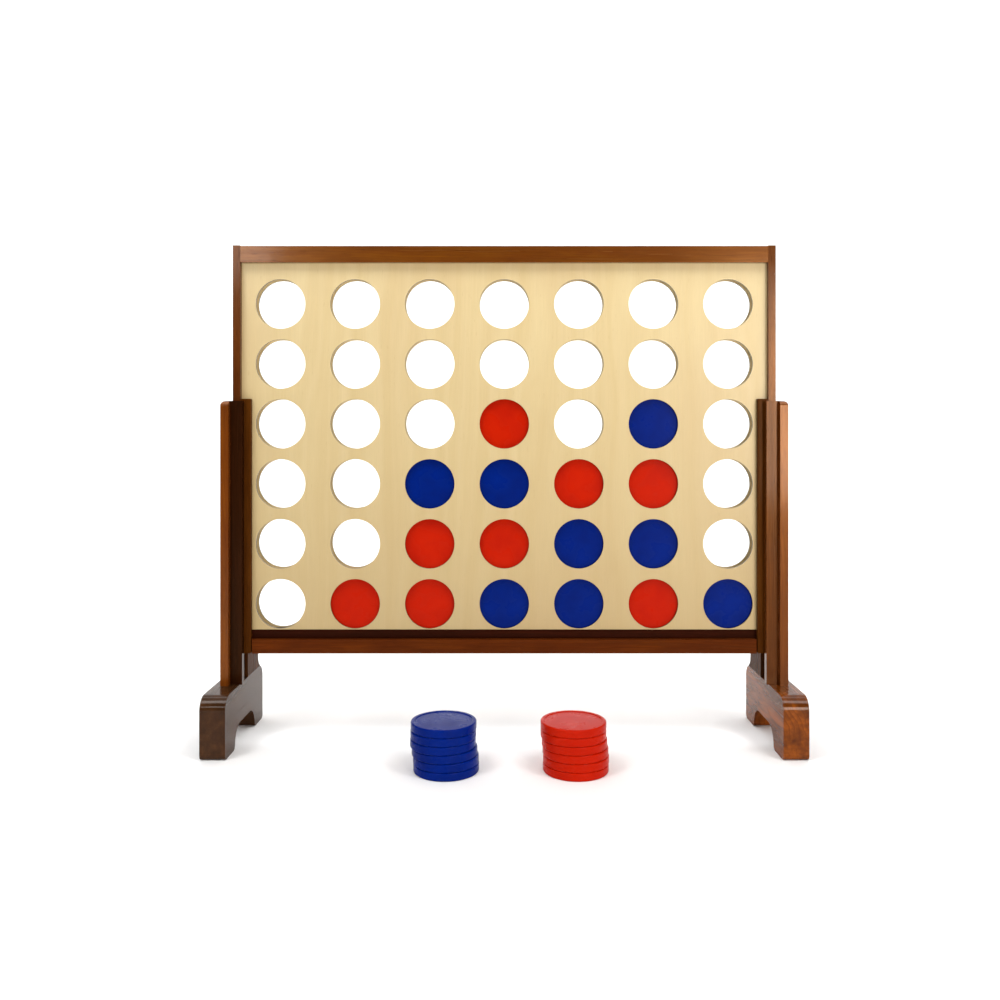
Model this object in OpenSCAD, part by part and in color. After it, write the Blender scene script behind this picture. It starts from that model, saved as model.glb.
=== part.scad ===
// Giant four in a row: an upright slotted board held in two drop-in stands,
// with round discs in its seven lanes and two loose stacks of spare discs.
// Millimetres. +Z is up, +X is to the right of a player who stands at the front.
// The origin is on the floor at the middle of everything, spare stacks included.

/* [Discs] */
// Diameter of a disc
disc_d = 101.3; // [98:0.1:102]
// Thickness of a disc
disc_t = 12.7; // [10:0.1:13]
// Rounding of the disc's rim
disc_round = 2; // [1:0.1:3]
// Diameter of the shallow dish in each face
dish_d = 89; // [80:1:92]
// Depth of the dish
dish_depth = 1.1; // [0.4:0.1:1.6]
// Gap left between one disc and the next in a lane
disc_gap = 0.3; // [0.1:0.1:0.4]

/* [Grid] */
// Distance from one lane to the next
lane_pitch = 126.3; // [122:0.1:128]
// Diameter of the holes in the panels
hole_d = 83.7; // [76:0.1:88]
// Height of the lowest row of hole centres above the floor
lowest_row = 230; // [229.5:0.1:231]
// Play of a disc on each side of its lane
lane_play = 0.85; // [0.4:0.05:1]
// Clear depth between the two panels
lane_depth = 14; // [14:0.5:15]

/* [Board] */
// Width of the board over its side rails
board_w = 914.4; // [908:0.2:920]
// Height of the side rails' upper ends
board_top = 835.5; // [830:0.5:845]
// Height of the board's lower edge
board_bottom = 148; // [146:1:150]
// Thickness of a plywood panel
panel_t = 3.6; // [3.2:0.1:4.4]
// How far the frame stands in front of the middle of the board
frame_front = 20; // [18:0.5:22]
// How far the frame stands behind the middle of the board
frame_back = 16; // [15:0.5:18]
// Thickness of a side rail
side_rail_t = 12.5; // [12:0.5:15]
// Depth of the grooves that hold the panels in the side rails
groove = 3; // [2:0.5:3.5]
// Height of a top rail
top_rail_h = 27.7; // [24:0.1:32]
// How much the side rails stand above the top rails
rail_horn = 1; // [0.5:0.5:4]
// Height of a bottom rail
bottom_rail_h = 23.4; // [22:0.1:25]
// Height of the gap between the bottom rails and the panels
bar_window = 15; // [13:0.5:16]
// Width of a cleat, the strip beside a side rail
cleat_w = 18; // [14:0.5:20]
// Height of the cleats' upper ends
cleat_top = 577; // [560:1:600]
// Gap between a cleat and the end of the bottom rail's front face
cleat_gap = 2; // [0.5:0.5:4]

/* [Release bar] */
// Depth of the bar, front to back
bar_w = 20; // [19:0.5:20]
// Clearance round the bar
bar_play = 0.3; // [0.2:0.1:0.5]
// How far the bar's tongue reaches down between the bottom rails
tongue_h = 6.2; // [4:0.1:7]
// Thickness of the wall that closes the bar's channel at its right-hand end
bar_end_t = 3.6; // [3:0.1:5]
// Height of the finger recess above the bar's end
finger_h = 20; // [16:1:30]

/* [Stands] */
// Length of a foot, front to back
foot_l = 222; // [210:1:230]
// Height of a foot
foot_h = 99; // [95:1:102]
// Inner face of a foot, measured from the middle of the board
stand_inner = 442; // [441:0.5:443]
// Thickness of a foot
foot_t = 41; // [38:0.5:44]
// Rounding of the foot's upper ends
foot_round = 22; // [12:1:24]
// Height of the arch under the foot
arch_h = 36; // [32:1:42]
// Height of the posts' upper ends
post_top = 573; // [560:1:580]
// Thickness of the outer post
outer_post_t = 13.5; // [12:0.5:15]
// How far the front post stands in from the foot's inner face
front_post_overhang = 4; // [2:0.5:6]
// How far the rest block is set back from the foot's inner face
rest_setback = 4.5; // [3:0.5:5]
// Front edge of the outer post, in front of the middle of the board
outer_post_front = 42; // [40:1:48]
// How far the front post is set back from the outer post's edge
front_post_setback = 10; // [6:0.5:11]
// Back edge of the posts, behind the middle of the board
post_back = 82; // [72:1:84]
// Play of the board in the stand's slot, front and back
slot_play = 0.4; // [0.3:0.1:0.8]
// Diameter of the pin that locates the board in a stand
pin_d = 6; // [5:0.5:6]

/* [Spare discs] */
// Distance of the stacks in front of the board
stack_reach = 148; // [140:1:160]
// Place of the blue stack along X
blue_stack_x = -92.5; // [-110:0.5:-70]
// Place of the red stack along X
red_stack_x = 108.5; // [80:0.5:120]

/* [Hidden] */
$fn = 96;
lanes = 7;
rows = 6;
row_pitch = disc_d + disc_gap;
disc_r = disc_d / 2;
// The stacks reach further forward than the feet reach back, so the board stands behind the origin.
board_y = (stack_reach + disc_r - foot_l / 2) / 2;
// Heights in the board
bottom_rail_top = board_bottom + bottom_rail_h;
panel_bottom = bottom_rail_top + bar_window;
channel_floor = lowest_row - disc_r - disc_gap;
bar_top = panel_bottom - bar_play;
bar_bottom = bottom_rail_top + bar_play;
top_rail_top = board_top - rail_horn;
top_rail_bottom = top_rail_top - top_rail_h;
panel_lap = 8;
// Front of the bottom rail's ends, which the cleats cover
tab_face = 13.5;
divider_bottom = channel_floor + 1.5;
divider_top = top_rail_top - 4;
// Depths in the board
lane_half = lane_depth / 2;
panel_face = lane_half + panel_t;
bar_half = bar_w / 2;
channel_half = lane_half + 0.1;
tongue_half = lane_half - bar_play;
// Widths in the board
rail_outer = board_w / 2;
rail_inner = rail_outer - side_rail_t;
lane_half_w = disc_r + lane_play;
divider_w = lane_pitch - 2 * lane_half_w;
outer_lane = lane_pitch * (lanes - 1) / 2;
lane_end_inner = outer_lane + lane_half_w;
// Places in the stands
outer_post_inner = rail_outer + 0.8;
outer_post_outer = outer_post_inner + outer_post_t;
front_post_front = outer_post_front - front_post_setback;
front_post_back = frame_front + slot_play;
rear_post_front = frame_back + slot_play;
front_post_inner = stand_inner - front_post_overhang;
rest_inner = stand_inner + rest_setback;
rest_top = board_bottom - 0.2;
foot_corner = 8;
post_round = 8;
cove_r = 18;
cove_reach = 13;
arch_half = 58;
arch_r = 30;
finger_half = 11;
finger_depth = side_rail_t - groove - 0.8;
window_r = 16;
pin_x = rail_outer - 5.2;
pin_y = (frame_back - frame_front) / 2;
pin_rise = 13;
pin_sink = 24;
pin_play = 0.08;
// Fasteners
screw_d = 4;
screw_head_d = 8;
screw_play = 0.03;
panel_screw_l = 12;
frame_screw_l = 40;
post_screw_l = 26;
foot_screw_l = 108;
frame_screw_front = -10.5;
frame_screw_back = (frame_back + lane_half) / 2;
panel_screw_rows = [1, 3, 5];
post_screw_heights = [230, 382, 535];
outer_post_middle = (outer_post_inner + outer_post_outer) / 2;
inner_post_middle = (stand_inner + outer_post_inner) / 2;
// Places of the screws in the arch of a foot, as [x, y]
foot_screw_spots = [[outer_post_middle, -22], [outer_post_middle, 20], [inner_post_middle, 30]];
// Sideways places of the discs in a stack, from the floor up
blue_shifts = [3, 2.5, 0.5, -2, -1.5, -1];
red_shifts = [1.5, 2, 1, -0.5, -2, -2];

// Colours
walnut = "#5c3214";
dark_walnut = "#3a1a0c";
plywood = "#e6d09a";
spacer_wood = "#d2b478";
red_plastic = "#c8320c";
blue_plastic = "#0a2d80";
steel = "#b9bcc0";

function lane_x(lane) = (lane - (lanes + 1) / 2) * lane_pitch;
function row_z(row) = lowest_row + (row - 1) * row_pitch;

// A block between two corners
module block(low, high) {
    translate(low) cube(high - low);
}

// Puts what is drawn round the board's middle where the board stands
module at_board() {
    translate([0, board_y, 0]) children();
}

// Turns a drawing of (y, z) into a solid from x_low to x_high
module across(x_low, x_high) {
    translate([x_low, 0, 0]) rotate([90, 0, 90]) linear_extrude(x_high - x_low) children();
}

// Draws for the right-hand side (1) or the left-hand side (-1)
module on_side(side) {
    mirror([side < 0 ? 1 : 0, 0, 0]) children();
}

// Countersunk wood screw along -Z, its head flush with z = 0; grow makes the hole for it
module wood_screw(length, grow = 0) {
    head_r = screw_head_d / 2 + grow;
    shank_r = screw_d / 2 + grow;
    difference() {
        union() {
            translate([0, 0, -2.4]) cylinder(h = 2.4, r1 = shank_r, r2 = head_r, $fn = 32);
            translate([0, 0, -length + 4]) cylinder(h = length - 4, r = shank_r, $fn = 32);
            translate([0, 0, -length]) cylinder(h = 4, r1 = 0.4 + grow, r2 = shank_r, $fn = 32);
        }
        if (grow == 0) {
            translate([0, 0, -1.6]) cylinder(h = 2, r = 1.5, $fn = 6);
        }
    }
}

// Screws through each side rail into the ends of the top and bottom rails
module place_frame_screws(side) {
    for (y = [frame_screw_front, frame_screw_back])
        for (z = [(top_rail_top + top_rail_bottom) / 2 + 3, board_bottom + 8.5])
            on_side(side) translate([rail_outer, y, z]) rotate([0, 90, 0]) children();
}

// Screws through the back panel into the dividers and end strips
module place_panel_screws() {
    end_x = (lane_end_inner + rail_inner) / 2;
    divider_xs = [for (i = [1 : lanes - 1]) (lane_x(i) + lane_x(i + 1)) / 2];
    for (x = concat([-end_x], divider_xs, [end_x]))
        for (row = panel_screw_rows)
            translate([x, panel_face, row_z(row) + row_pitch / 2]) rotate([-90, 0, 0]) children();
}

// Screws through the outer post into the front post, the rear post and the rest block
module place_post_screws() {
    front_y = -(front_post_front + front_post_back) / 2;
    rear_y = (rear_post_front + post_back) / 2;
    for (y = [front_y, rear_y])
        for (z = post_screw_heights)
            translate([outer_post_outer, y, z]) rotate([0, 90, 0]) children();
    translate([outer_post_outer, pin_y - 9, foot_h + 22]) rotate([0, 90, 0]) children();
}

// Screws up through the foot: two into the outer post and one into the rear post
module place_foot_screws() {
    for (spot = foot_screw_spots)
        translate([spot[0], spot[1], arch_h]) rotate([180, 0, 0]) children();
}

// Plywood panel with a hole over every place, standing from y_low to y_low + panel_t
module panel(y_low, z_high) {
    at_board() difference() {
        block([-rail_inner - groove, y_low, panel_bottom], [rail_inner + groove, y_low + panel_t, z_high]);
        for (lane = [1 : lanes])
            for (row = [1 : rows])
                translate([lane_x(lane), y_low - 1, row_z(row)])
                    rotate([-90, 0, 0]) cylinder(h = panel_t + 2, d = hole_d);
    }
}

module front_panel() {
    color(plywood) panel(-panel_face, top_rail_bottom + panel_lap);
}

module back_panel() {
    color(plywood) difference() {
        panel(lane_half, top_rail_bottom);
        at_board() place_panel_screws() wood_screw(panel_screw_l, screw_play);
    }
}

// Side rail with a groove for each panel, a socket for the pin and, on the right, the bar's window
module side_rail(side) {
    color(walnut) at_board() on_side(side) difference() {
        block([rail_inner, -frame_front, board_bottom], [rail_outer, frame_back, board_top]);
        block([rail_inner - 1, -panel_face, panel_bottom],
              [rail_inner + groove, -lane_half, top_rail_bottom + panel_lap]);
        block([rail_inner - 1, lane_half, panel_bottom],
              [rail_inner + groove, panel_face, top_rail_bottom]);
        translate([pin_x, pin_y, board_bottom - 1])
            cylinder(h = pin_rise + 2, r = pin_d / 2 + pin_play, $fn = 48);
        place_frame_screws(1) wood_screw(frame_screw_l, screw_play);
        if (side > 0) {
            across(rail_inner - 1, rail_outer + 1) bar_outline(bar_play);
            across(rail_outer - finger_depth, rail_outer + 1) finger_recess();
        }
    }
}

// (y, z) outline of the release bar without its channel; grow makes the room for it
module bar_outline(grow = 0) {
    translate([-bar_half - grow, bar_bottom - grow])
        square([2 * (bar_half + grow), bar_top - bar_bottom + 2 * grow]);
    translate([-tongue_half - grow, bar_bottom - tongue_h - grow])
        square([2 * (tongue_half + grow), tongue_h + 1]);
}

// (y, z) outline of the recess above the bar's end, round at the top
module finger_recess() {
    height = finger_h - finger_half;
    translate([-finger_half, bar_top]) square([2 * finger_half, height]);
    translate([0, bar_top + height]) circle(r = finger_half);
}

// A rail of the given (y, z) outline between the side rails, with holes for the frame screws
module cross_rail() {
    color(walnut) at_board() difference() {
        across(-rail_inner, rail_inner) children();
        for (side = [-1, 1]) place_frame_screws(side) wood_screw(frame_screw_l, screw_play);
    }
}

module front_top_rail() {
    cross_rail() polygon([
        [-frame_front, top_rail_bottom], [-panel_face, top_rail_bottom],
        [-panel_face, top_rail_bottom + panel_lap], [-lane_half, top_rail_bottom + panel_lap],
        [-lane_half, top_rail_top], [-frame_front, top_rail_top]
    ]);
}

module back_top_rail() {
    cross_rail() translate([lane_half, top_rail_bottom]) square([frame_back - lane_half, top_rail_h]);
}

// The cleats cover the ends of this rail, so only its back part reaches the side rails
module front_bottom_rail() {
    front_end = rail_inner - cleat_w - cleat_gap;
    color(walnut) at_board() difference() {
        union() {
            block([-rail_inner, -tab_face, board_bottom], [rail_inner, -lane_half, bottom_rail_top]);
            block([-front_end, -frame_front, board_bottom], [front_end, -lane_half, bottom_rail_top]);
        }
        for (side = [-1, 1]) place_frame_screws(side) wood_screw(frame_screw_l, screw_play);
    }
}

module back_bottom_rail() {
    cross_rail() translate([lane_half, board_bottom]) square([frame_back - lane_half, bottom_rail_h]);
}

// The six strips between the lanes
module lane_dividers() {
    color(spacer_wood) at_board() difference() {
        for (i = [1 : lanes - 1]) {
            x = (lane_x(i) + lane_x(i + 1)) / 2;
            block([x - divider_w / 2, -lane_half, divider_bottom],
                  [x + divider_w / 2, lane_half, divider_top]);
        }
        place_panel_screws() wood_screw(panel_screw_l, screw_play);
    }
}

// The strips that close the outermost lanes against the side rails
module lane_end_strips() {
    color(spacer_wood) at_board() difference() {
        for (side = [-1, 1])
            on_side(side)
                block([lane_end_inner, -lane_half, divider_bottom], [rail_inner, lane_half, divider_top]);
        place_panel_screws() wood_screw(panel_screw_l, screw_play);
    }
}

// Strip on the face of the front panel, beside the side rail, thinner where it covers the bottom rail
module cleat(side) {
    inner = rail_inner - cleat_w;
    color(walnut) at_board() on_side(side) union() {
        block([inner, -frame_front, board_bottom], [rail_inner, -tab_face, cleat_top]);
        block([inner, -tab_face - 1, bottom_rail_top], [rail_inner, -panel_face, cleat_top]);
    }
}

module frame_screws() {
    color(steel) at_board() for (side = [-1, 1]) place_frame_screws(side) wood_screw(frame_screw_l);
}

module back_panel_screws() {
    color(steel) at_board() place_panel_screws() wood_screw(panel_screw_l);
}

// The bar that the lowest discs stand in; it pulls out to the right and lets them fall.
// Its end wall is what a fingertip hooks behind.
module release_bar() {
    bar_left = -rail_inner + 0.5;
    bar_right = rail_outer - 0.4;
    color(dark_walnut) at_board() difference() {
        across(bar_left, bar_right) bar_outline();
        block([bar_left - 1, -channel_half, channel_floor],
              [bar_right - bar_end_t, channel_half, bar_top + 1]);
    }
}

// (y, z) outline of the arch under a foot: wide round shoulders at the top, eased edges at the floor
module arch() {
    shoulder = arch_half - arch_r;
    translate([-shoulder, -1]) square([2 * shoulder, arch_h + 1]);
    translate([-arch_half, -1]) square([2 * arch_half, arch_h - arch_r + 1]);
    for (end = [0, 1]) mirror([end, 0]) {
        translate([shoulder, arch_h - arch_r]) circle(r = arch_r);
        difference() {
            translate([arch_half - 1, -1]) square([foot_corner + 1, foot_corner + 1]);
            translate([arch_half + foot_corner, foot_corner]) circle(r = foot_corner);
        }
    }
}

// Foot: rounded ends, a flat top and an arch underneath
module foot(side) {
    half = foot_l / 2;
    flat = half - foot_round;
    sole = half - foot_corner;
    color(walnut) at_board() on_side(side) difference() {
        across(stand_inner, stand_inner + foot_t) difference() {
            union() {
                translate([-sole, 0]) square([2 * sole, foot_h - foot_round]);
                translate([-half, foot_corner]) square([2 * half, foot_h - foot_round - foot_corner]);
                translate([-flat, foot_h - foot_round - 1]) square([2 * flat, foot_round + 1]);
                for (end = [-1, 1]) {
                    translate([end * flat, foot_h - foot_round]) circle(r = foot_round);
                    translate([end * sole, foot_corner]) circle(r = foot_corner);
                }
            }
            arch();
        }
        place_foot_screws() wood_screw(foot_screw_l, screw_play);
    }
}

// (y, z) outline of a post from y_low to y_high, rounded at the top; the back edge sweeps out to the foot
module post_outline(y_low, y_high) {
    union() {
        translate([y_low, foot_h]) square([y_high - y_low, post_top - foot_h - post_round]);
        translate([y_low + post_round, foot_h]) square([y_high - y_low - 2 * post_round, post_top - foot_h]);
        for (y = [y_low + post_round, y_high - post_round])
            translate([y, post_top - post_round]) circle(r = post_round);
        translate([y_high, foot_h]) difference() {
            translate([-1, 0]) square([cove_reach + 1, cove_r]);
            translate([cove_r, cove_r]) circle(r = cove_r);
        }
    }
}

// (y, z) outline of the window that the release bar is reached and drawn through
module bar_window_outline() {
    low = bar_bottom + 1.5;
    high = bar_top + finger_h - finger_half;
    translate([-window_r, low]) square([2 * window_r, high - low]);
    for (z = [low, high]) translate([0, z]) circle(r = window_r);
}

// The plank that closes the stand's slot on the outside
module outer_post(side) {
    width = outer_post_t;
    color(walnut) at_board() on_side(side) difference() {
        intersection() {
            across(outer_post_inner, outer_post_outer) post_outline(-outer_post_front, post_back);
            translate([outer_post_inner, 200, 0]) rotate([90, 0, 0]) linear_extrude(400) union() {
                square([width, post_top - post_round]);
                square([width - post_round, post_top]);
                translate([width - post_round, post_top - post_round]) circle(r = post_round);
            }
        }
        place_post_screws() wood_screw(post_screw_l, screw_play);
        place_foot_screws() wood_screw(foot_screw_l, screw_play);
        if (side > 0) {
            across(outer_post_inner - 1, outer_post_outer + 1) bar_window_outline();
        }
    }
}

// The narrow post in front of the board's side rail
module front_post(side) {
    color(walnut) at_board() on_side(side) difference() {
        block([front_post_inner, -front_post_front, foot_h], [outer_post_inner, -front_post_back, post_top]);
        place_post_screws() wood_screw(post_screw_l, screw_play);
    }
}

// The deep post behind the board
module rear_post(side) {
    color(walnut) at_board() on_side(side) difference() {
        across(stand_inner, outer_post_inner) intersection() {
            post_outline(rear_post_front - 2 * post_round, post_back);
            translate([rear_post_front, 0]) square([200, post_top]);
        }
        place_post_screws() wood_screw(post_screw_l, screw_play);
        place_foot_screws() wood_screw(foot_screw_l, screw_play);
    }
}

// The block in the foot of the slot, on which the board's side rail stands
module rest_block(side) {
    color(walnut) at_board() on_side(side) difference() {
        block([rest_inner, -front_post_back, foot_h], [outer_post_inner, rear_post_front, rest_top]);
        translate([pin_x, pin_y, rest_top - pin_sink])
            cylinder(h = pin_sink + 1, r = pin_d / 2 + screw_play, $fn = 48);
        place_post_screws() wood_screw(post_screw_l, screw_play);
    }
}

// Steel pin in the rest block that stands up into the side rail
module locating_pin(side) {
    tip = 1.5;
    color(steel) at_board() on_side(side) translate([pin_x, pin_y, rest_top - pin_sink]) union() {
        cylinder(h = pin_sink + pin_rise - tip, d = pin_d, $fn = 48);
        translate([0, 0, pin_sink + pin_rise - tip])
            cylinder(h = tip, d1 = pin_d, d2 = pin_d - 2 * tip, $fn = 48);
    }
}

module stand_screws(side) {
    color(steel) at_board() on_side(side) {
        place_post_screws() wood_screw(post_screw_l);
        place_foot_screws() wood_screw(foot_screw_l);
    }
}

// Disc lying flat round the Z axis, from z = 0 up: a rounded rim and a shallow dish in each face
module disc(paint) {
    dish_r = dish_d / 2;
    color(paint) rotate_extrude() difference() {
        union() {
            square([disc_r - disc_round, disc_t]);
            translate([0, disc_round]) square([disc_r, disc_t - 2 * disc_round]);
            for (z = [disc_round, disc_t - disc_round])
                translate([disc_r - disc_round, z]) circle(r = disc_round, $fn = 32);
        }
        translate([-disc_d, -1]) square([disc_d, disc_t + 2]);
        translate([-1, -1]) square([dish_r + 1, dish_depth + 1]);
        translate([-1, disc_t - dish_depth]) square([dish_r + 1, dish_depth + 1]);
    }
}

// Disc standing in a lane, counted from the left, on a row counted from the bottom
module board_disc(lane, row, paint) {
    at_board() translate([lane_x(lane), disc_t / 2, row_z(row)]) rotate([90, 0, 0]) disc(paint);
}

// Disc in a stack on the floor, counted from the floor up
module stack_disc(x, place, shifts, paint) {
    stack_gap = 0.1;
    translate([x + shifts[place - 1], board_y - stack_reach, (place - 1) * (disc_t + stack_gap)]) disc(paint);
}

front_panel();
back_panel();
side_rail(-1);  // left_side_rail
side_rail(1);  // right_side_rail
front_top_rail();
back_top_rail();
front_bottom_rail();
back_bottom_rail();
lane_dividers();
lane_end_strips();
cleat(-1);  // left_cleat
cleat(1);  // right_cleat
frame_screws();
back_panel_screws();
release_bar();
foot(-1);  // left_foot
outer_post(-1);  // left_outer_post
front_post(-1);  // left_front_post
rear_post(-1);  // left_rear_post
rest_block(-1);  // left_rest_block
locating_pin(-1);  // left_locating_pin
stand_screws(-1);  // left_stand_screws
foot(1);  // right_foot
outer_post(1);  // right_outer_post
front_post(1);  // right_front_post
rear_post(1);  // right_rear_post
rest_block(1);  // right_rest_block
locating_pin(1);  // right_locating_pin
stand_screws(1);  // right_stand_screws
board_disc(2, 1, red_plastic);  // red_disc_lane2_row1
board_disc(3, 1, red_plastic);  // red_disc_lane3_row1
board_disc(3, 2, red_plastic);  // red_disc_lane3_row2
board_disc(3, 3, blue_plastic);  // blue_disc_lane3_row3
board_disc(4, 1, blue_plastic);  // blue_disc_lane4_row1
board_disc(4, 2, red_plastic);  // red_disc_lane4_row2
board_disc(4, 3, blue_plastic);  // blue_disc_lane4_row3
board_disc(4, 4, red_plastic);  // red_disc_lane4_row4
board_disc(5, 1, blue_plastic);  // blue_disc_lane5_row1
board_disc(5, 2, blue_plastic);  // blue_disc_lane5_row2
board_disc(5, 3, red_plastic);  // red_disc_lane5_row3
board_disc(6, 1, red_plastic);  // red_disc_lane6_row1
board_disc(6, 2, blue_plastic);  // blue_disc_lane6_row2
board_disc(6, 3, red_plastic);  // red_disc_lane6_row3
board_disc(6, 4, blue_plastic);  // blue_disc_lane6_row4
board_disc(7, 1, blue_plastic);  // blue_disc_lane7_row1
stack_disc(blue_stack_x, 1, blue_shifts, blue_plastic);  // blue_stack_disc_1
stack_disc(blue_stack_x, 2, blue_shifts, blue_plastic);  // blue_stack_disc_2
stack_disc(blue_stack_x, 3, blue_shifts, blue_plastic);  // blue_stack_disc_3
stack_disc(blue_stack_x, 4, blue_shifts, blue_plastic);  // blue_stack_disc_4
stack_disc(blue_stack_x, 5, blue_shifts, blue_plastic);  // blue_stack_disc_5
stack_disc(blue_stack_x, 6, blue_shifts, blue_plastic);  // blue_stack_disc_6
stack_disc(red_stack_x, 1, red_shifts, red_plastic);  // red_stack_disc_1
stack_disc(red_stack_x, 2, red_shifts, red_plastic);  // red_stack_disc_2
stack_disc(red_stack_x, 3, red_shifts, red_plastic);  // red_stack_disc_3
stack_disc(red_stack_x, 4, red_shifts, red_plastic);  // red_stack_disc_4
stack_disc(red_stack_x, 5, red_shifts, red_plastic);  // red_stack_disc_5
stack_disc(red_stack_x, 6, red_shifts, red_plastic);  // red_stack_disc_6
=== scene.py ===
"""Looks of the giant four in a row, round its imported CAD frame. Metres, +Z up, players at -Y."""
import math

import bmesh
import bpy
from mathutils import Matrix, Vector

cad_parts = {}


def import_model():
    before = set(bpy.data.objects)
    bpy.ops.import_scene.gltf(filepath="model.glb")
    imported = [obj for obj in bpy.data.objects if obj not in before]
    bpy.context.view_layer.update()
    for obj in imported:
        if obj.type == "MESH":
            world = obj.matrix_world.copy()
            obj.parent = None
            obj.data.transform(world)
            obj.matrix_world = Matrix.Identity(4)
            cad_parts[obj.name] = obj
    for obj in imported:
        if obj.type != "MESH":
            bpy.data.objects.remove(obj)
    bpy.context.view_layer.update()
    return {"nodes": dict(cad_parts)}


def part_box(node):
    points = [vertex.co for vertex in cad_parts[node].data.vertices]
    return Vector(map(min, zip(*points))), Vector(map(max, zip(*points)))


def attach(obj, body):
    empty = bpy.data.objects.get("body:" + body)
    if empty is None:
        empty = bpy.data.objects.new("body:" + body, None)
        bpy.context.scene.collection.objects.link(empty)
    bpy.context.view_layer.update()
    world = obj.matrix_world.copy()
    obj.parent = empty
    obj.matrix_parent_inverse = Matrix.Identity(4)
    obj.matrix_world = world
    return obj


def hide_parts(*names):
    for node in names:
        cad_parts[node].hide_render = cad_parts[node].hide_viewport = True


# Camera: level, in front of the board's middle
CAMERA_HEIGHT = 0.516
CAMERA_DISTANCE = 1.540
CAMERA_LENS = 32.5
CAMERA_SHIFT = (-0.0043, -0.065)

# Discs
DISH_RADIUS = 0.0445
DISH_DEPTH = 0.0011
DISH_FILLET = 0.0006
RIM_ROUND = 0.0020
PARTING_GROOVE = 0.00012
DISC_SEGMENTS = 128

# Panels and the strips between them: widths of their eased edges, number of plies, and the share of an
# outer ply that is coloured as its face
EASE_PANEL = 0.00045
EASE_STRIP = 0.0006
PLIES = 3
FACE_SHARE = 0.1

# Heights between which the panels are painted darker towards the bottom: painted shade, for the lower panel
# getting less of the light from above
DARKER_BELOW = 0.15
PALER_ABOVE = 0.75

# Growth rings: spacing and how far their pith wanders
STAINED_RINGS = (0.007, 0.09)
PLANED_RINGS = (0.004, 0.03)

# The stained pieces, by how their names end: the way the grain runs, the width of the eased edges,
# the shine of the stained wood itself and the weight of the clear coat on it
STAINED = {
    "top_rail": ("X", 0.0012, 0.6, 0.15),
    "side_rail": ("Z", 0.0012, 0.3, 0.08),
    "bottom_rail": ("X", 0.0010, 0.08, 0.02),
    "cleat": ("Z", 0.0012, 0.04, 0.01),
    "release_bar": ("X", 0.0006, 0.04, 0.01),
    "outer_post": ("Z", 0.0022, 0.45, 0.11),
    "left_front_post": ("Z", 0.0028, 0.1, 0.03),
    "right_front_post": ("Z", 0.0028, 0.3, 0.08),
    "rear_post": ("Z", 0.0022, 0.01, 0.0),
    "rest_block": ("Z", 0.0010, 0.1, 0.03),
    "left_foot": ("Y", 0.0045, 0.03, 0.25),
    "right_foot": ("Y", 0.0045, 0.03, 0.25),
}
# Screen colours of their early wood, late wood and blotches of stain; where the left and right pieces
# differ, and for the release bar, the colours also hold painted light and painted shade, marked below
STAINS = {
    "top_rail": ((118, 64, 9), (78, 36, 4), (96, 46, 6)),
    "side_rail": ((98, 48, 10), (64, 24, 4), (76, 33, 5)),
    "bottom_rail": ((100, 44, 8), (58, 22, 5), (78, 31, 7)),
    "cleat": ((86, 46, 10), (52, 24, 4), (68, 33, 6)),
    # Release bar: dark stain, darkened further as painted shade of its recess behind the bottom rail
    "release_bar": ((52, 17, 8), (26, 7, 3), (38, 12, 6)),
    "outer_post": ((120, 60, 10), (76, 32, 4), (92, 40, 6)),
    # Painted light and shade: both front posts are one wood, the right one painted lighter for the light
    # from the right and the left one painted darker
    "left_front_post": ((46, 20, 6), (24, 9, 3), (34, 14, 4)),
    "right_front_post": ((104, 54, 16), (54, 24, 7), (78, 38, 10)),
    "rear_post": ((80, 46, 22), (44, 22, 9), (60, 31, 14)),
    "rest_block": ((58, 28, 10), (30, 12, 4), (42, 18, 6)),
    # Painted light and shade: both feet are one wood, the right one painted lighter for the light from the
    # right and the left one painted darker
    "left_foot": ((76, 46, 24), (30, 16, 7), (50, 29, 13)),
    "right_foot": ((150, 76, 18), (42, 18, 4), (78, 37, 9)),
}

# Stage
FLOOR_HALF = 8.0
WALL_Y = 3.2
WALL_RADIUS = 1.4
WALL_HEIGHT = 4.5

# Linear colours: the steps of the ring ramps, the tint of the stain's reflections, and open pores
BLACK = (0.0, 0.0, 0.0, 1.0)
GREY = (0.35, 0.35, 0.35, 1.0)
WHITE = (1.0, 1.0, 1.0, 1.0)
AMBER = (1.0, 0.5, 0.2, 1.0)
PORE = (0.006, 0.002, 0.001, 1.0)

# Colour of the light on the right, and the brightness of the world round the stage
WARM_LIGHT = (1.0, 0.9, 0.8)
WORLD_STRENGTH = 0.12


def srgb(red, green, blue):
    """A colour given as screen values from 0 to 255, as the linear colour that a shader takes."""
    def linear(value):
        share = value / 255
        return share / 12.92 if share <= 0.04045 else ((share + 0.055) / 1.055) ** 2.4
    return (linear(red), linear(green), linear(blue), 1.0)


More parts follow.
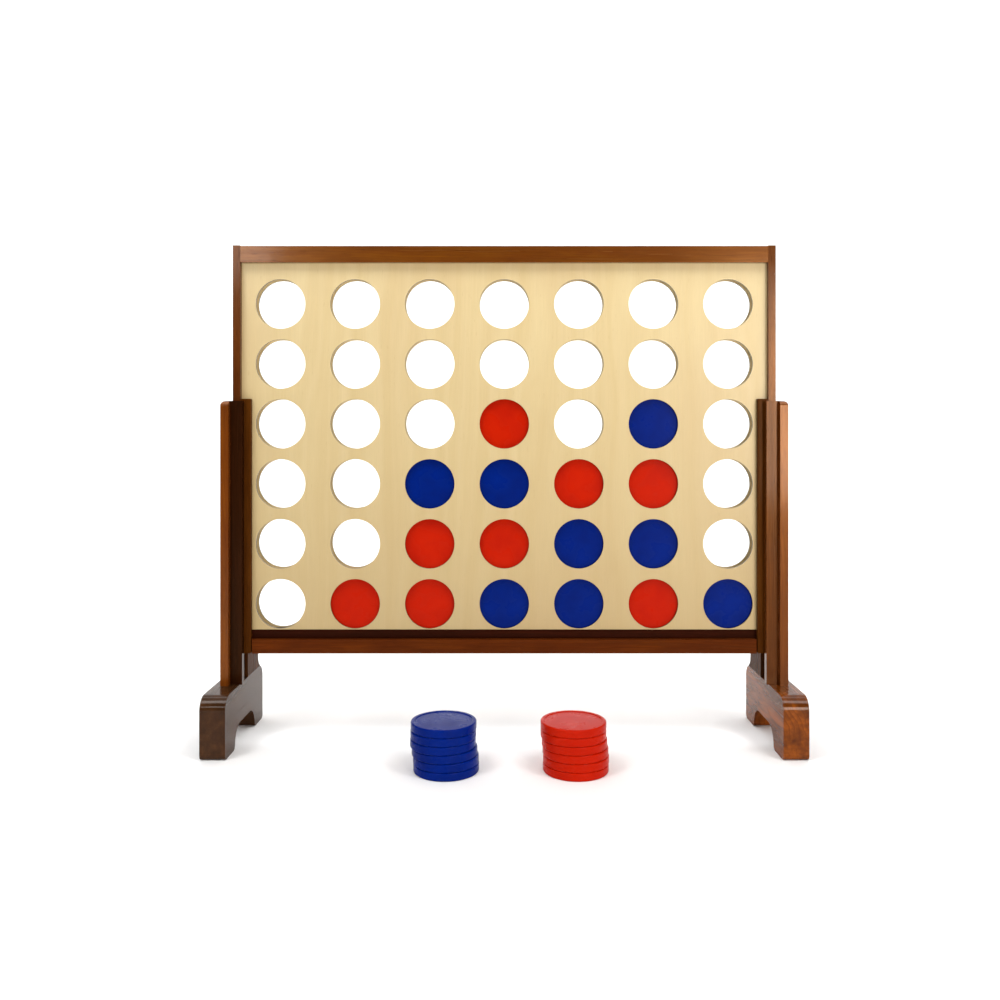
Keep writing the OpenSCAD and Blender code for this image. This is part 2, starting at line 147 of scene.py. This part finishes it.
class Graph:
    """The node tree of one material, with short ways to add nodes and join them."""

    def __init__(self, name):
        self.material = bpy.data.materials.new(name)
        self.material.use_nodes = True
        self.tree = self.material.node_tree
        self.tree.nodes.clear()
        self.shader = self.tree.nodes.new("ShaderNodeBsdfPrincipled")
        output = self.tree.nodes.new("ShaderNodeOutputMaterial")
        self.tree.links.new(self.shader.outputs["BSDF"], output.inputs["Surface"])

    def feed(self, socket, value):
        """Joins an output to the socket, or sets a plain value on it."""
        if isinstance(value, bpy.types.NodeSocket):
            self.tree.links.new(value, socket)
        else:
            socket.default_value = value

    def node(self, kind, inputs=(), **settings):
        """Adds a node; inputs pairs socket names or numbers with values or outputs."""
        made = self.tree.nodes.new("ShaderNode" + kind)
        for name, value in settings.items():
            setattr(made, name, value)
        for name, value in dict(inputs).items():
            self.feed(made.inputs[name], value)
        return made

    def math(self, operation, *values):
        return self.node("Math", enumerate(values), operation=operation).outputs[0]

    def vector(self, operation, *values):
        return self.node("VectorMath", enumerate(values), operation=operation).outputs[0]

    def noise(self, place, scale, detail=2.0, roughness=0.5):
        inputs = {"Vector": place, "Scale": scale, "Detail": detail, "Roughness": roughness}
        return self.node("TexNoise", inputs).outputs["Fac"]

    def ramp(self, factor, stops):
        """Smooth colour ramp through (position, colour) stops."""
        made = self.node("ValToRGB", {"Fac": factor})
        band = made.color_ramp
        band.interpolation = "EASE"
        while len(band.elements) < len(stops):
            band.elements.new(0.5)
        for element, (position, colour) in zip(band.elements, stops):
            element.position = position
            element.color = colour
        return made.outputs["Color"]

    def span(self, factor, low, high, to_low=0.0, to_high=1.0):
        """Maps low..high of a value to to_low..to_high, and holds it there outside."""
        inputs = {"Value": factor, "From Min": low, "From Max": high, "To Min": to_low, "To Max": to_high}
        return self.node("MapRange", inputs, clamp=True).outputs[0]

    def mix(self, factor, first, second, blend="MIX"):
        made = self.node("Mix", data_type="RGBA", blend_type=blend)
        self.feed(made.inputs[0], factor)
        self.feed(made.inputs[6], first)
        self.feed(made.inputs[7], second)
        return made.outputs[2]

    def bump(self, height, distance, strength=1.0):
        inputs = {"Height": height, "Distance": distance, "Strength": strength}
        return self.node("Bump", inputs).outputs["Normal"]

    def finish(self, **inputs):
        """Sets the shader's sockets, named with underscores for spaces, and returns the material."""
        for name, value in inputs.items():
            self.feed(self.shader.inputs[name.replace("_", " ")], value)
        return self.material


def grain_place(graph, grain, shift):
    """Object coordinates as (across, across, along the grain), moved by shift so that pieces differ."""
    place = graph.node("TexCoord").outputs["Object"]
    parts = graph.node("SeparateXYZ", {0: place})
    order = {"X": (1, 2, 0), "Y": (0, 2, 1), "Z": (0, 1, 2)}[grain]
    swapped = graph.node("CombineXYZ", {i: parts.outputs[axis] for i, axis in enumerate(order)})
    return graph.vector("ADD", swapped.outputs[0], shift)


def stretched(graph, place, across, along):
    return graph.vector("MULTIPLY", place, (across, across, along))


def growth_rings(graph, place, spacing, wander):
    """Phase of the growth rings, 0 to 1 over each ring, round a pith that wanders along the grain."""
    drift = graph.noise(stretched(graph, place, 6.0, 1.6), 1.0, detail=3.0)
    ripple = graph.noise(stretched(graph, place, 40.0, 5.0), 1.0, detail=2.0)
    flat = graph.vector("MULTIPLY", place, (1.0, 1.0, 0.0))
    reach = graph.node("VectorMath", {0: flat}, operation="LENGTH").outputs["Value"]
    drifted = graph.math("MULTIPLY_ADD", drift, wander, reach)
    rippled = graph.math("MULTIPLY_ADD", ripple, spacing * 0.8, drifted)
    return graph.math("FRACT", graph.math("DIVIDE", rippled, spacing))


def shaded(graph, colour, factor, low, high):
    """The colour made darker and lighter by a factor that is mapped to low..high."""
    shade = graph.span(factor, 0.3, 0.7, low, high)
    grey = graph.node("CombineColor", {0: shade, 1: shade, 2: shade}).outputs[0]
    return graph.mix(1.0, colour, grey, "MULTIPLY")


def stained_wood(name, grain, shift, shine, coat, early, late, blotch):
    """Stained and varnished wood: rings, fibres, pores and blotches of stain, with amber reflections."""
    graph = Graph(name)
    place = grain_place(graph, grain, shift)
    phase = growth_rings(graph, place, *STAINED_RINGS)
    late_wood = graph.ramp(phase, [(0.0, BLACK), (0.62, GREY), (0.9, WHITE), (1.0, BLACK)])
    strength = graph.noise(stretched(graph, place, 9.0, 2.0), 1.0)
    ring = graph.math("MULTIPLY", late_wood, graph.span(strength, 0.35, 0.7, 0.05, 0.6))
    fibres = graph.noise(stretched(graph, place, 700.0, 22.0), 1.0, detail=3.0, roughness=0.6)
    streaks = graph.noise(stretched(graph, place, 90.0, 2.5), 1.0, detail=4.0, roughness=0.55)
    pores = graph.span(graph.noise(stretched(graph, place, 1500.0, 60.0), 1.0, detail=1.0), 0.66, 0.74)
    stain = graph.noise(stretched(graph, place, 32.0, 7.0), 1.0, detail=3.0, roughness=0.6)
    colour = graph.mix(ring, early, late)
    colour = graph.mix(graph.span(streaks, 0.4, 0.8, 0.0, 0.6), colour, late)
    colour = graph.mix(graph.span(stain, 0.38, 0.62, 0.0, 0.85), colour, blotch)
    colour = shaded(graph, colour, fibres, 0.86, 1.1)
    colour = graph.mix(graph.math("MULTIPLY", pores, 0.4), colour, PORE)
    height = graph.math("MULTIPLY_ADD", pores, -0.6, graph.math("MULTIPLY", fibres, 0.4))
    waves = graph.noise(place, 22.0, detail=1.0)
    return graph.finish(
        Base_Color=colour,
        Roughness=graph.span(streaks, 0.3, 0.7, 0.18, 0.3),
        Specular_IOR_Level=shine,
        Specular_Tint=AMBER,
        Normal=graph.bump(height, 0.0002, 0.4),
        Coat_Weight=coat,
        Coat_Roughness=0.11,
        Coat_Normal=graph.bump(waves, 0.0006, 0.35),
    )


def birch_plywood(name, front, back):
    """Birch plywood between two depths: veneered faces with painted shade darkening them towards the
    bottom, and bands of plies on every cut edge, darkened further as painted shade inside the holes.
    """
    graph = Graph(name)
    place = grain_place(graph, "Z", (0.31, 0.0, 0.17))
    flow = graph.noise(stretched(graph, place, 7.0, 1.5), 1.0, detail=2.0)
    bend = graph.math("MULTIPLY_ADD", flow, 0.16, graph.node("SeparateXYZ", {0: place}).outputs["X"])
    bent = graph.node("CombineXYZ", {0: bend, 1: 0.0, 2: flow}).outputs[0]
    figure = graph.noise(graph.vector("MULTIPLY", bent, (45.0, 1.0, 2.0)), 1.0, detail=3.0)
    fibres = graph.noise(stretched(graph, place, 900.0, 18.0), 1.0, detail=2.0, roughness=0.6)
    flecks = graph.span(graph.noise(stretched(graph, place, 520.0, 70.0), 1.0, detail=1.0), 0.7, 0.78)
    clouds = graph.noise(stretched(graph, place, 5.0, 2.5), 1.0, detail=3.0)
    veneer = graph.mix(graph.span(figure, 0.3, 0.7), srgb(222, 202, 153), srgb(214, 191, 139))
    veneer = graph.mix(graph.span(clouds, 0.4, 0.75, 0.0, 0.5), veneer, srgb(206, 179, 132))
    veneer = graph.mix(graph.math("MULTIPLY", flecks, 0.14), veneer, srgb(160, 116, 70))
    parts = graph.node("SeparateXYZ", {0: graph.node("TexCoord").outputs["Object"]})
    # Painted shade: the veneer is mixed towards a darker brown below PALER_ABOVE, most at DARKER_BELOW, for
    # the lower panel getting less light
    painted_low_shade = graph.span(parts.outputs["Z"], DARKER_BELOW, PALER_ABOVE, 0.6, 0.0)
    veneer = graph.mix(painted_low_shade, veneer, srgb(166, 140, 92))
    depth = parts.outputs["Y"]
    layer = graph.math("MULTIPLY", graph.span(depth, front, back), float(PLIES))
    past_front = graph.math("GREATER_THAN", layer, FACE_SHARE)
    before_back = graph.math("LESS_THAN", layer, PLIES - FACE_SHARE)
    odd = graph.math("GREATER_THAN", graph.math("PINGPONG", layer, 1.0), 0.5)
    # Cut edges: dark burnt ply, darkened further as painted shade of the shaded hole walls
    cut = graph.mix(odd, srgb(74, 64, 36), srgb(54, 45, 26))
    colour = graph.mix(graph.math("MULTIPLY", past_front, before_back), veneer, cut)
    colour = shaded(graph, colour, fibres, 0.97, 1.02)
    return graph.finish(
        Base_Color=colour,
        Roughness=graph.span(fibres, 0.3, 0.7, 0.42, 0.55),
        Specular_IOR_Level=0.35,
        Normal=graph.bump(fibres, 0.00012, 0.4),
        Coat_Weight=0.25,
        Coat_Roughness=0.25,
    )


def planed_wood(name, grain, shift, early, late):
    """Bare planed wood of the strips between the panels, which show only inside the holes; its colours are
    darkened as painted shade for the shade inside the holes.
    """
    graph = Graph(name)
    place = grain_place(graph, grain, shift)
    phase = growth_rings(graph, place, *PLANED_RINGS)
    ring = graph.ramp(phase, [(0.0, BLACK), (0.85, WHITE), (1.0, BLACK)])
    fibres = graph.noise(stretched(graph, place, 700.0, 20.0), 1.0, detail=3.0)
    colour = graph.mix(ring, early, late)
    colour = graph.mix(graph.span(fibres, 0.45, 0.75, 0.0, 0.4), colour, late)
    return graph.finish(
        Base_Color=colour,
        Roughness=graph.span(fibres, 0.3, 0.7, 0.6, 0.75),
        Specular_IOR_Level=0.3,
        Normal=graph.bump(fibres, 0.00015, 0.5),
    )


def moulded_plastic(name, colour, deep):
    """Glossy moulded plastic: slight clouding of the colour and an orange-peel skin."""
    graph = Graph(name)
    place = graph.node("TexCoord").outputs["Object"]
    clouds = graph.noise(place, 28.0, detail=3.0)
    skin = graph.noise(place, 700.0, detail=1.0)
    return graph.finish(
        Base_Color=graph.mix(graph.span(clouds, 0.35, 0.7), colour, deep),
        Roughness=graph.span(clouds, 0.3, 0.7, 0.24, 0.32),
        Specular_IOR_Level=0.05,
        Normal=graph.bump(skin, 0.00002, 0.3),
    )


def zinc_steel(name):
    """Zinc-plated steel with faint turning marks and stains."""
    graph = Graph(name)
    place = graph.node("TexCoord").outputs["Object"]
    stains = graph.noise(place, 260.0, detail=3.0)
    marks = graph.noise(place, 3000.0, detail=1.0)
    colour = graph.mix(stains, srgb(196, 196, 200), srgb(140, 138, 132))
    return graph.finish(
        Base_Color=colour,
        Metallic=1.0,
        Roughness=graph.span(stains, 0.3, 0.7, 0.28, 0.48),
        Normal=graph.bump(marks, 0.00003, 0.4),
    )


def wear(node, material):
    """Gives a CAD node one material on every face."""
    mesh = node.data
    mesh.materials.clear()
    mesh.materials.append(material)


def ease(node, width, segments=3):
    """Rounds a CAD node's sharp edges with modifiers, which leave its mesh as it is."""
    mesh = node.data
    if "custom_normal" in mesh.attributes:
        mesh.attributes.remove(mesh.attributes["custom_normal"])
    mesh.polygons.foreach_set("use_smooth", [True] * len(mesh.polygons))
    weld = node.modifiers.new("weld", "WELD")
    weld.merge_threshold = 0.00001
    flat = node.modifiers.new("flat", "DECIMATE")
    flat.decimate_type = "DISSOLVE"
    flat.angle_limit = math.radians(0.5)
    bevel = node.modifiers.new("ease", "BEVEL")
    bevel.width = width
    bevel.segments = segments
    bevel.limit_method = "ANGLE"
    bevel.angle_limit = math.radians(40)
    bevel.use_clamp_overlap = True
    bevel.miter_outer = "MITER_ARC"
    normals = node.modifiers.new("normals", "WEIGHTED_NORMAL")
    normals.keep_sharp = True


def arc(centre_r, centre_z, radius, start, end, steps):
    """Points (r, z) along an arc, angles in degrees from the +r axis."""
    turns = [math.radians(start + (end - start) * i / steps) for i in range(steps + 1)]
    return [(centre_r + radius * math.cos(t), centre_z + radius * math.sin(t)) for t in turns]


def half_disc_outline(radius, thickness):
    """Outline (r, z) of a disc's upper half, from the middle of its face out to the parting line."""
    top = thickness / 2
    floor = top - DISH_DEPTH
    points = [(r * DISH_RADIUS, floor) for r in (0.02, 0.3, 0.6, 0.85)]
    points += arc(DISH_RADIUS - DISH_FILLET, floor + DISH_FILLET, DISH_FILLET, -90, 0, 4)
    points += arc(DISH_RADIUS + DISH_FILLET, top - DISH_FILLET * 0.8, DISH_FILLET * 0.8, 180, 90, 4)
    points += arc(radius - RIM_ROUND, top - RIM_ROUND, RIM_ROUND, 90, 0, 8)
    points += [(radius, PARTING_GROOVE * 3), (radius - PARTING_GROOVE, PARTING_GROOVE)]
    points.append((radius - PARTING_GROOVE, 0.0))
    return points


def lathe(outline, turn_point):
    """Closed mesh turned from an outline that ends near the axis on both sides."""
    mesh = bmesh.new()
    rings = []
    for r, z in outline:
        angles = [2 * math.pi * i / DISC_SEGMENTS for i in range(DISC_SEGMENTS)]
        rings.append([mesh.verts.new(turn_point(r * math.cos(a), r * math.sin(a), z)) for a in angles])
    for inner, outer in zip(rings, rings[1:]):
        for i in range(DISC_SEGMENTS):
            j = (i + 1) % DISC_SEGMENTS
            mesh.faces.new((inner[i], outer[i], outer[j], inner[j]))
    for ring in (rings[0], rings[-1]):
        mesh.faces.new(ring)
    bmesh.ops.recalc_face_normals(mesh, faces=mesh.faces)
    return mesh


def make_disc(node_name, material):
    """Turned disc that stands for a CAD disc, flat or on edge as that one is."""
    low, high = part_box(node_name)
    centre = (low + high) / 2
    size = high - low
    on_edge = size.y < size.z
    upper = half_disc_outline(size.x / 2, size.y if on_edge else size.z)
    lower = [(r, -z) for r, z in reversed(upper[:-1])]

    def turn_point(x, y, z):
        return centre + (Vector((x, z, -y)) if on_edge else Vector((x, y, z)))

    mesh = lathe(upper + lower, turn_point)
    data = bpy.data.meshes.new(node_name + "_moulding")
    mesh.to_mesh(data)
    mesh.free()
    data.polygons.foreach_set("use_smooth", [True] * len(data.polygons))
    data.materials.append(material)
    disc = bpy.data.objects.new(node_name + "_moulding", data)
    bpy.context.scene.collection.objects.link(disc)
    normals = disc.modifiers.new("normals", "WEIGHTED_NORMAL")
    normals.keep_sharp = True
    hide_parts(node_name)
    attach(disc, node_name)


def dress_wood(nodes):
    """Materials and eased edges of the stained pieces; every piece is cut from another part of the wood."""
    count = 0
    for name, node in nodes.items():
        for ending, (grain, width, shine, coat) in STAINED.items():
            if name.endswith(ending):
                count += 1
                shift = (0.035 + 0.013 * (count % 5), 0.05 + 0.021 * (count % 7), 0.37 * count)
                colours = [srgb(*values) for values in STAINS[ending]]
                wear(node, stained_wood(name, grain, shift, shine, coat, *colours))
                ease(node, width)


def dress_panels(nodes):
    """Plywood on the two panels, told apart only by their depth."""
    for name in ("front_panel", "back_panel"):
        low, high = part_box(name)
        wear(nodes[name], birch_plywood(name, low.y, high.y))
        ease(nodes[name], EASE_PANEL, 2)


def dress_strips(nodes):
    """Planed wood on the dividers and end strips, each cut from another part of the wood."""
    for name, shift in (("lane_dividers", (0.05, 0.08, 0.2)), ("lane_end_strips", (0.09, 0.04, 1.3))):
        # Colours of bare planed wood darkened to a dark olive: painted shade for the shade deep inside the
        # holes
        wear(nodes[name], planed_wood(name, "Z", shift, srgb(86, 75, 46), srgb(62, 53, 31)))
        ease(nodes[name], EASE_STRIP, 2)


def dress_steel(nodes):
    """Zinc-plated steel on the screws and the locating pins."""
    steel = zinc_steel("zinc_steel")
    for name, node in nodes.items():
        if name.endswith(("screws", "pin")):
            wear(node, steel)


def dress_discs(nodes):
    """Turned discs in place of the CAD discs, in the lanes and in the stacks."""
    red = moulded_plastic("red_plastic", srgb(192, 30, 3), srgb(180, 24, 2))
    blue = moulded_plastic("blue_plastic", srgb(0, 32, 122), srgb(0, 26, 108))
    for name in nodes:
        if "_disc_" in name:
            is_red = name.startswith("red")
            make_disc(name, red if is_red else blue)


def make_stage():
    """Pale floor that curves up into a wall behind the object."""
    graph = Graph("pale_floor")
    place = graph.node("TexCoord").outputs["Object"]
    tone = graph.mix(graph.noise(place, 1.5), srgb(243, 243, 243), srgb(247, 247, 247))
    material = graph.finish(Base_Color=tone, Roughness=0.9, Specular_IOR_Level=0.1)
    outline = [(-FLOOR_HALF, 0.0), (WALL_Y - WALL_RADIUS, 0.0)]
    outline += arc(WALL_Y - WALL_RADIUS, WALL_RADIUS, WALL_RADIUS, -90, 0, 24)[1:]
    outline.append((WALL_Y, WALL_HEIGHT))
    mesh = bmesh.new()
    rows = [[mesh.verts.new((x, y, z)) for y, z in outline] for x in (-FLOOR_HALF, FLOOR_HALF)]
    for i in range(len(outline) - 1):
        mesh.faces.new((rows[0][i], rows[1][i], rows[1][i + 1], rows[0][i + 1]))
    data = bpy.data.meshes.new("floor")
    mesh.to_mesh(data)
    mesh.free()
    data.polygons.foreach_set("use_smooth", [True] * len(data.polygons))
    data.materials.append(material)
    floor = bpy.data.objects.new("floor", data)
    bpy.context.scene.collection.objects.link(floor)


def make_camera(board_y):
    """Level camera that looks squarely at the board."""
    data = bpy.data.cameras.new("camera")
    data.sensor_width = 36.0
    data.lens = CAMERA_LENS
    data.shift_x, data.shift_y = CAMERA_SHIFT
    camera = bpy.data.objects.new("camera", data)
    camera.location = (0.0, board_y - CAMERA_DISTANCE, CAMERA_HEIGHT)
    camera.rotation_euler = (math.radians(90), 0.0, 0.0)
    bpy.context.scene.collection.objects.link(camera)
    bpy.context.scene.camera = camera


def area_light(name, place, aim, size, power, colour=(1.0, 1.0, 1.0)):
    """Rectangular light at a place, turned to face the aim."""
    data = bpy.data.lights.new(name, "AREA")
    data.shape = "RECTANGLE"
    data.size, data.size_y = size
    data.energy = power
    data.color = colour
    light = bpy.data.objects.new(name, data)
    light.location = place
    light.rotation_euler = (Vector(aim) - Vector(place)).to_track_quat("-Z", "Y").to_euler()
    bpy.context.scene.collection.objects.link(light)


def make_lights():
    """Soft light from above and in front, boxes that shine in the varnish, and a wash for the wall."""
    area_light("overhead", (0.0, 0.4, 3.4), (0.0, 0.4, 0.0), (5.0, 4.4), 90.0)
    for side in (-1, 1):
        area_light("front_top", (1.4 * side, -1.2, 2.9), (0.4 * side, 0.0, 0.3), (0.7, 1.4), 34.0)
    area_light("right_box", (1.38, -2.9, 0.74), (0.4, 0.0, 0.5), (0.45, 1.1), 34.0, WARM_LIGHT)
    area_light("left_box", (-1.34, -2.9, 1.44), (-0.4, 0.0, 0.7), (0.4, 0.34), 7.0)
    area_light("wall_wash", (0.0, 1.2, 3.0), (0.0, 3.2, 1.0), (7.0, 1.2), 120.0)
    world = bpy.data.worlds.new("studio")
    world.use_nodes = True
    background = world.node_tree.nodes["Background"]
    background.inputs["Color"].default_value = WHITE
    background.inputs["Strength"].default_value = WORLD_STRENGTH
    bpy.context.scene.world = world
    bpy.context.scene.view_settings.view_transform = "Standard"


def main():
    """Dresses every CAD node, then makes the stage, the camera and the lights."""
    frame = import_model()
    nodes = frame["nodes"]
    board_y = (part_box("front_panel")[0].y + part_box("back_panel")[1].y) / 2
    dress_wood(nodes)
    dress_panels(nodes)
    dress_strips(nodes)
    dress_steel(nodes)
    dress_discs(nodes)
    make_stage()
    make_camera(board_y)
    make_lights()


main()
